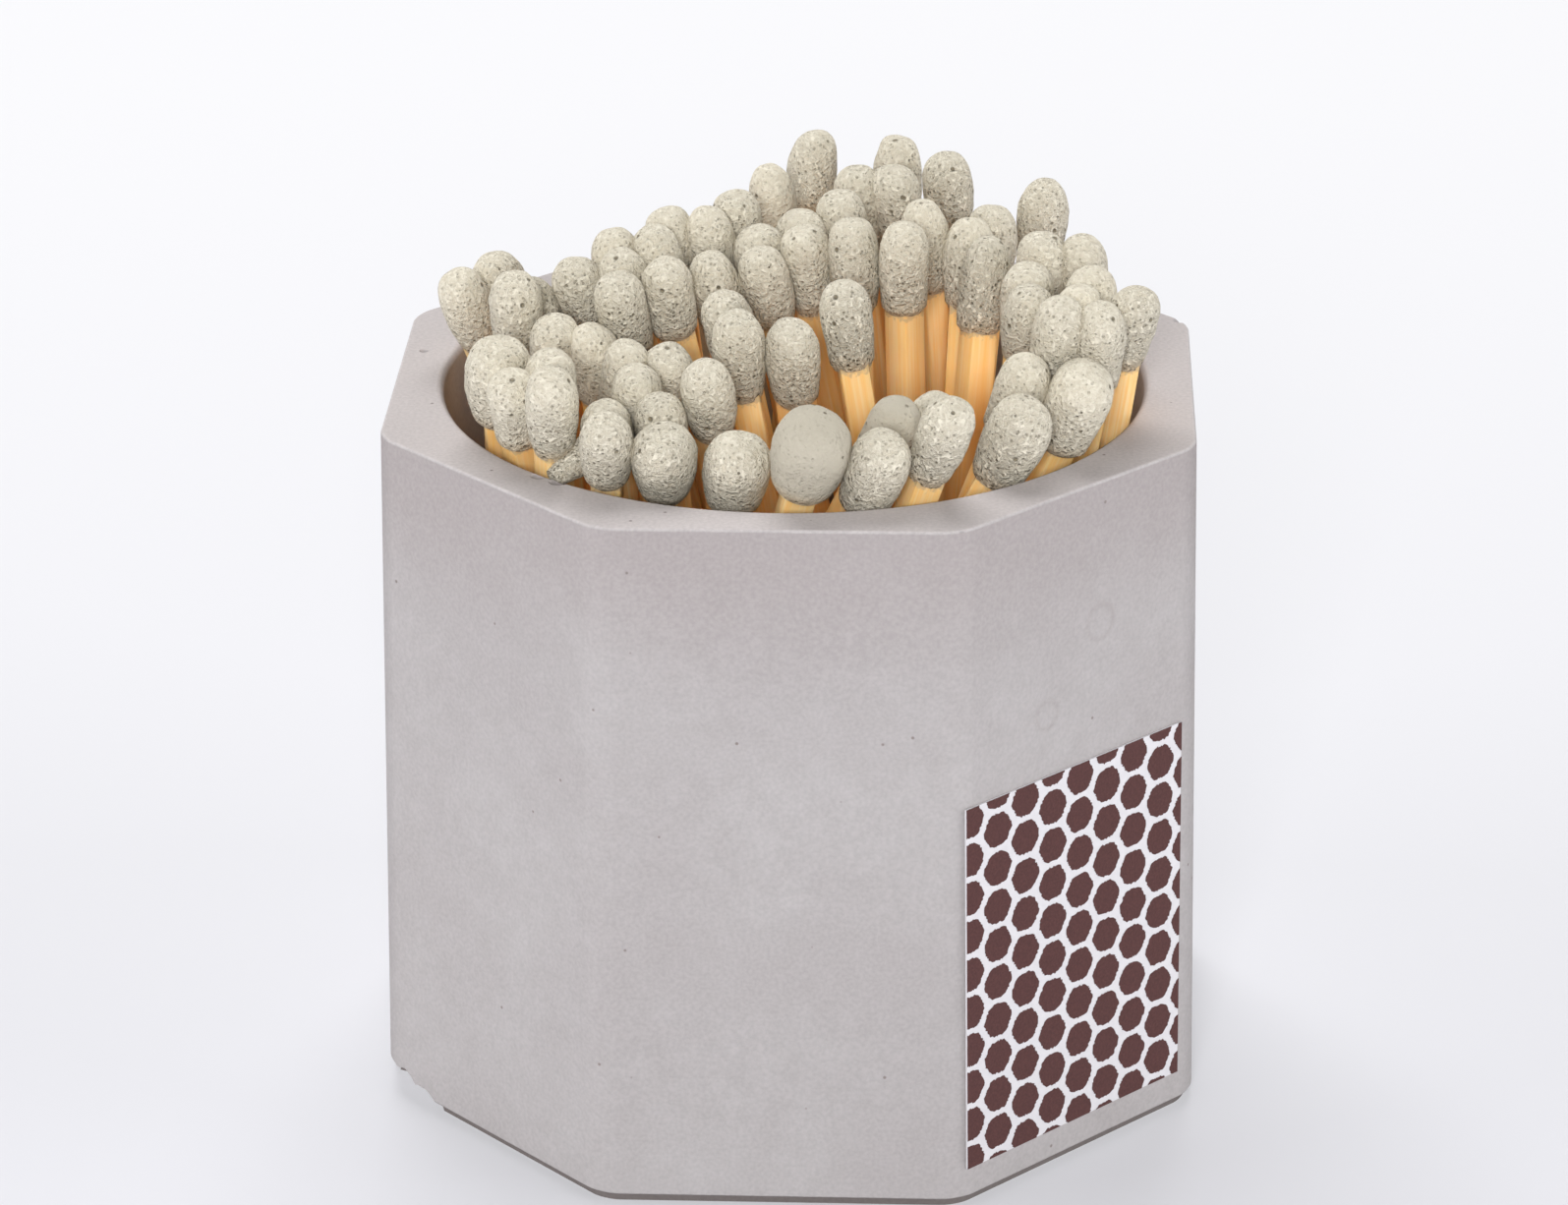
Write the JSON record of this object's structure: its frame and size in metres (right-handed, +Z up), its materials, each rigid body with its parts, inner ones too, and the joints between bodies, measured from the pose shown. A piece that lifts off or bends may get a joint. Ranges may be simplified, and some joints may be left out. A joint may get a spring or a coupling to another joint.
{
  "type": "match holder",
  "caption": "Octagonal cast concrete pot that holds loose wooden matches with thick dipped heads, and has a honeycomb-printed striking patch stuck on one facet.",
  "frame": {"origin": "on the bench, under the middle of the pot", "axes": "+Z up along the bore; -Y is the front facet; the striking patch is on the facet between -Y and +X"},
  "size_m": [0.0526, 0.0526, 0.0555],
  "materials": {
    "concrete": "matt cast concrete",
    "printed_paper": "matt printed label",
    "aspen": "plain wood with a dipped head"
  },
  "bodies": {
    "pot": {"pot": "concrete", "striking_patch": "printed_paper"},
    "match_01": {"match_01": "aspen"},
    "match_02": {"match_02": "aspen"},
    "match_03": {"match_03": "aspen"},
    "match_04": {"match_04": "aspen"},
    "match_05": {"match_05": "aspen"},
    "match_06": {"match_06": "aspen"},
    "match_07": {"match_07": "aspen"},
    "match_08": {"match_08": "aspen"},
    "match_09": {"match_09": "aspen"},
    "match_10": {"match_10": "aspen"},
    "match_11": {"match_11": "aspen"},
    "match_12": {"match_12": "aspen"},
    "match_13": {"match_13": "aspen"},
    "match_14": {"match_14": "aspen"},
    "match_15": {"match_15": "aspen"},
    "match_16": {"match_16": "aspen"},
    "match_17": {"match_17": "aspen"},
    "match_18": {"match_18": "aspen"},
    "match_19": {"match_19": "aspen"},
    "twin_match_01": {"twin_match_01": "aspen"},
    "twin_match_02": {"twin_match_02": "aspen"},
    "twin_match_03": {"twin_match_03": "aspen"},
    "twin_match_04": {"twin_match_04": "aspen"},
    "match_20": {"match_20": "aspen"},
    "match_21": {"match_21": "aspen"},
    "twin_match_05": {"twin_match_05": "aspen"},
    "twin_match_06": {"twin_match_06": "aspen"},
    "twin_match_07": {"twin_match_07": "aspen"},
    "match_22": {"match_22": "aspen"},
    "match_23": {"match_23": "aspen"},
    "match_24": {"match_24": "aspen"},
    "match_25": {"match_25": "aspen"},
    "match_26": {"match_26": "aspen"},
    "match_27": {"match_27": "aspen"},
    "match_28": {"match_28": "aspen"},
    "match_29": {"match_29": "aspen"},
    "match_30": {"match_30": "aspen"},
    "match_31": {"match_31": "aspen"},
    "match_32": {"match_32": "aspen"},
    "match_33": {"match_33": "aspen"},
    "match_34": {"match_34": "aspen"},
    "twin_match_08": {"twin_match_08": "aspen"},
    "match_35": {"match_35": "aspen"},
    "twin_match_09": {"twin_match_09": "aspen"},
    "match_36": {"match_36": "aspen"},
    "match_37": {"match_37": "aspen"},
    "match_38": {"match_38": "aspen"},
    "match_39": {"match_39": "aspen"},
    "match_40": {"match_40": "aspen"},
    "match_41": {"match_41": "aspen"},
    "match_42": {"match_42": "aspen"},
    "match_43": {"match_43": "aspen"},
    "match_44": {"match_44": "aspen"},
    "twin_match_10": {"twin_match_10": "aspen"},
    "match_45": {"match_45": "aspen"},
    "match_46": {"match_46": "aspen"},
    "match_47": {"match_47": "aspen"},
    "match_48": {"match_48": "aspen"}
  },
  "joints": [
    {"name": "match_01_pull", "type": "slide", "parent": "pot", "child": "match_01", "axis": [0.0755, -0.4856, 0.8709], "range_m": [0, 0.046]},
    {"name": "match_02_pull", "type": "slide", "parent": "pot", "child": "match_02", "axis": [0.1075, -0.5014, 0.8585], "range_m": [0, 0.046]},
    {"name": "match_03_pull", "type": "slide", "parent": "pot", "child": "match_03", "axis": [0.2284, -0.3359, 0.9138], "range_m": [0, 0.046]},
    {"name": "match_04_pull", "type": "slide", "parent": "pot", "child": "match_04", "axis": [0.2378, -0.4065, 0.8822], "range_m": [0, 0.046]},
    {"name": "match_05_pull", "type": "slide", "parent": "pot", "child": "match_05", "axis": [0.0201, -0.3767, 0.9261], "range_m": [0, 0.046]},
    {"name": "match_06_pull", "type": "slide", "parent": "pot", "child": "match_06", "axis": [-0.0268, -0.4793, 0.8772], "range_m": [0, 0.046]},
    {"name": "match_07_pull", "type": "slide", "parent": "pot", "child": "match_07", "axis": [0.2942, -0.232, 0.9272], "range_m": [0, 0.046]},
    {"name": "match_08_pull", "type": "slide", "parent": "pot", "child": "match_08", "axis": [0.3915, -0.256, 0.8839], "range_m": [0, 0.046]},
    {"name": "match_09_pull", "type": "slide", "parent": "pot", "child": "match_09", "axis": [0.4036, -0.2585, 0.8777], "range_m": [0, 0.046]},
    {"name": "match_10_pull", "type": "slide", "parent": "pot", "child": "match_10", "axis": [0.4129, -0.2061, 0.8872], "range_m": [0, 0.046]},
    {"name": "match_11_pull", "type": "slide", "parent": "pot", "child": "match_11", "axis": [0.3528, -0.2097, 0.9119], "range_m": [0, 0.046]},
    {"name": "match_12_pull", "type": "slide", "parent": "pot", "child": "match_12", "axis": [0.3057, -0.2544, 0.9175], "range_m": [0, 0.046]},
    {"name": "match_13_pull", "type": "slide", "parent": "pot", "child": "match_13", "axis": [0.1186, -0.1848, 0.9756], "range_m": [0, 0.046]},
    {"name": "match_14_pull", "type": "slide", "parent": "pot", "child": "match_14", "axis": [0.0952, -0.1823, 0.9786], "range_m": [0, 0.046]},
    {"name": "match_15_pull", "type": "slide", "parent": "pot", "child": "match_15", "axis": [0.0689, -0.2378, 0.9689], "range_m": [0, 0.046]},
    {"name": "match_16_pull", "type": "slide", "parent": "pot", "child": "match_16", "axis": [0.0576, -0.231, 0.9712], "range_m": [0, 0.046]},
    {"name": "match_17_pull", "type": "slide", "parent": "pot", "child": "match_17", "axis": [0.0242, -0.356, 0.9342], "range_m": [0, 0.046]},
    {"name": "match_18_pull", "type": "slide", "parent": "pot", "child": "match_18", "axis": [0.046, -0.4516, 0.891], "range_m": [0, 0.046]},
    {"name": "match_19_pull", "type": "slide", "parent": "pot", "child": "match_19", "axis": [-0.0918, -0.3666, 0.9258], "range_m": [0, 0.046]},
    {"name": "twin_match_01_pull", "type": "slide", "parent": "pot", "child": "twin_match_01", "axis": [-0.0471, -0.4159, 0.9082], "range_m": [0, 0.046]},
    {"name": "twin_match_02_pull", "type": "slide", "parent": "pot", "child": "twin_match_02", "axis": [-0.0337, -0.4679, 0.8831], "range_m": [0, 0.046]},
    {"name": "twin_match_03_pull", "type": "slide", "parent": "pot", "child": "twin_match_03", "axis": [-0.0303, -0.4181, 0.9079], "range_m": [0, 0.046]},
    {"name": "twin_match_04_pull", "type": "slide", "parent": "pot", "child": "twin_match_04", "axis": [0.108, -0.4159, 0.903], "range_m": [0, 0.046]},
    {"name": "match_20_pull", "type": "slide", "parent": "pot", "child": "match_20", "axis": [0.0052, -0.2735, 0.9619], "range_m": [0, 0.046]},
    {"name": "match_21_pull", "type": "slide", "parent": "pot", "child": "match_21", "axis": [-0.0347, -0.159, 0.9867], "range_m": [0, 0.046]},
    {"name": "twin_match_05_pull", "type": "slide", "parent": "pot", "child": "twin_match_05", "axis": [-0.2216, -0.1792, 0.9585], "range_m": [0, 0.046]},
    {"name": "twin_match_06_pull", "type": "slide", "parent": "pot", "child": "twin_match_06", "axis": [-0.1443, -0.1749, 0.974], "range_m": [0, 0.046]},
    {"name": "twin_match_07_pull", "type": "slide", "parent": "pot", "child": "twin_match_07", "axis": [-0.099, -0.1653, 0.9813], "range_m": [0, 0.046]},
    {"name": "match_22_pull", "type": "slide", "parent": "pot", "child": "match_22", "axis": [-0.2695, -0.2978, 0.9158], "range_m": [0, 0.046]},
    {"name": "match_23_pull", "type": "slide", "parent": "pot", "child": "match_23", "axis": [-0.2721, -0.2854, 0.919], "range_m": [0, 0.046]},
    {"name": "match_24_pull", "type": "slide", "parent": "pot", "child": "match_24", "axis": [-0.1906, -0.1932, 0.9625], "range_m": [0, 0.046]},
    {"name": "match_25_pull", "type": "slide", "parent": "pot", "child": "match_25", "axis": [-0.1954, -0.1563, 0.9682], "range_m": [0, 0.046]},
    {"name": "match_26_pull", "type": "slide", "parent": "pot", "child": "match_26", "axis": [-0.1488, -0.2481, 0.9572], "range_m": [0, 0.046]},
    {"name": "match_27_pull", "type": "slide", "parent": "pot", "child": "match_27", "axis": [-0.1552, -0.2155, 0.9641], "range_m": [0, 0.046]},
    {"name": "match_28_pull", "type": "slide", "parent": "pot", "child": "match_28", "axis": [-0.1626, -0.2101, 0.9641], "range_m": [0, 0.046]},
    {"name": "match_29_pull", "type": "slide", "parent": "pot", "child": "match_29", "axis": [-0.215, -0.3126, 0.9252], "range_m": [0, 0.046]},
    {"name": "match_30_pull", "type": "slide", "parent": "pot", "child": "match_30", "axis": [0.0067, -0.2401, 0.9707], "range_m": [0, 0.046]},
    {"name": "match_31_pull", "type": "slide", "parent": "pot", "child": "match_31", "axis": [-0.1432, -0.3057, 0.9413], "range_m": [0, 0.046]},
    {"name": "match_32_pull", "type": "slide", "parent": "pot", "child": "match_32", "axis": [-0.1233, -0.2641, 0.9566], "range_m": [0, 0.046]},
    {"name": "match_33_pull", "type": "slide", "parent": "pot", "child": "match_33", "axis": [-0.0749, -0.342, 0.9367], "range_m": [0, 0.046]},
    {"name": "match_34_pull", "type": "slide", "parent": "pot", "child": "match_34", "axis": [0.1248, -0.1875, 0.9743], "range_m": [0, 0.046]},
    {"name": "twin_match_08_pull", "type": "slide", "parent": "pot", "child": "twin_match_08", "axis": [0.1184, -0.1848, 0.9756], "range_m": [0, 0.046]},
    {"name": "match_35_pull", "type": "slide", "parent": "pot", "child": "match_35", "axis": [0.0876, 0.2427, 0.9661], "range_m": [0, 0.046]},
    {"name": "twin_match_09_pull", "type": "slide", "parent": "pot", "child": "twin_match_09", "axis": [0.0012, -0.1333, 0.9911], "range_m": [0, 0.046]},
    {"name": "match_36_pull", "type": "slide", "parent": "pot", "child": "match_36", "axis": [-0.1011, -0.0965, 0.9902], "range_m": [0, 0.046]},
    {"name": "match_37_pull", "type": "slide", "parent": "pot", "child": "match_37", "axis": [-0.1698, -0.1493, 0.9741], "range_m": [0, 0.046]},
    {"name": "match_38_pull", "type": "slide", "parent": "pot", "child": "match_38", "axis": [0.0819, 0.0194, 0.9965], "range_m": [0, 0.046]},
    {"name": "match_39_pull", "type": "slide", "parent": "pot", "child": "match_39", "axis": [0.0541, -0.006, 0.9985], "range_m": [0, 0.046]},
    {"name": "match_40_pull", "type": "slide", "parent": "pot", "child": "match_40", "axis": [0.0752, 0.239, 0.9681], "range_m": [0, 0.046]},
    {"name": "match_41_pull", "type": "slide", "parent": "pot", "child": "match_41", "axis": [0.0454, 0.243, 0.969], "range_m": [0, 0.046]},
    {"name": "match_42_pull", "type": "slide", "parent": "pot", "child": "match_42", "axis": [-0.0822, 0.0394, 0.9958], "range_m": [0, 0.046]},
    {"name": "match_43_pull", "type": "slide", "parent": "pot", "child": "match_43", "axis": [0.0256, 0.0366, 0.999], "range_m": [0, 0.046]},
    {"name": "match_44_pull", "type": "slide", "parent": "pot", "child": "match_44", "axis": [-0.1109, -0.0979, 0.989], "range_m": [0, 0.046]},
    {"name": "twin_match_10_pull", "type": "slide", "parent": "pot", "child": "twin_match_10", "axis": [-0.0936, -0.0659, 0.9934], "range_m": [0, 0.046]},
    {"name": "match_45_pull", "type": "slide", "parent": "pot", "child": "match_45", "axis": [-0.0544, -0.1123, 0.9922], "range_m": [0, 0.046]},
    {"name": "match_46_pull", "type": "slide", "parent": "pot", "child": "match_46", "axis": [-0.0513, 0.0739, 0.9959], "range_m": [0, 0.046]},
    {"name": "match_47_pull", "type": "slide", "parent": "pot", "child": "match_47", "axis": [-0.026, -0.0677, 0.9974], "range_m": [0, 0.046]},
    {"name": "match_48_pull", "type": "slide", "parent": "pot", "child": "match_48", "axis": [-0.1617, 0.1122, 0.9804], "range_m": [0, 0.046]}
  ]
}
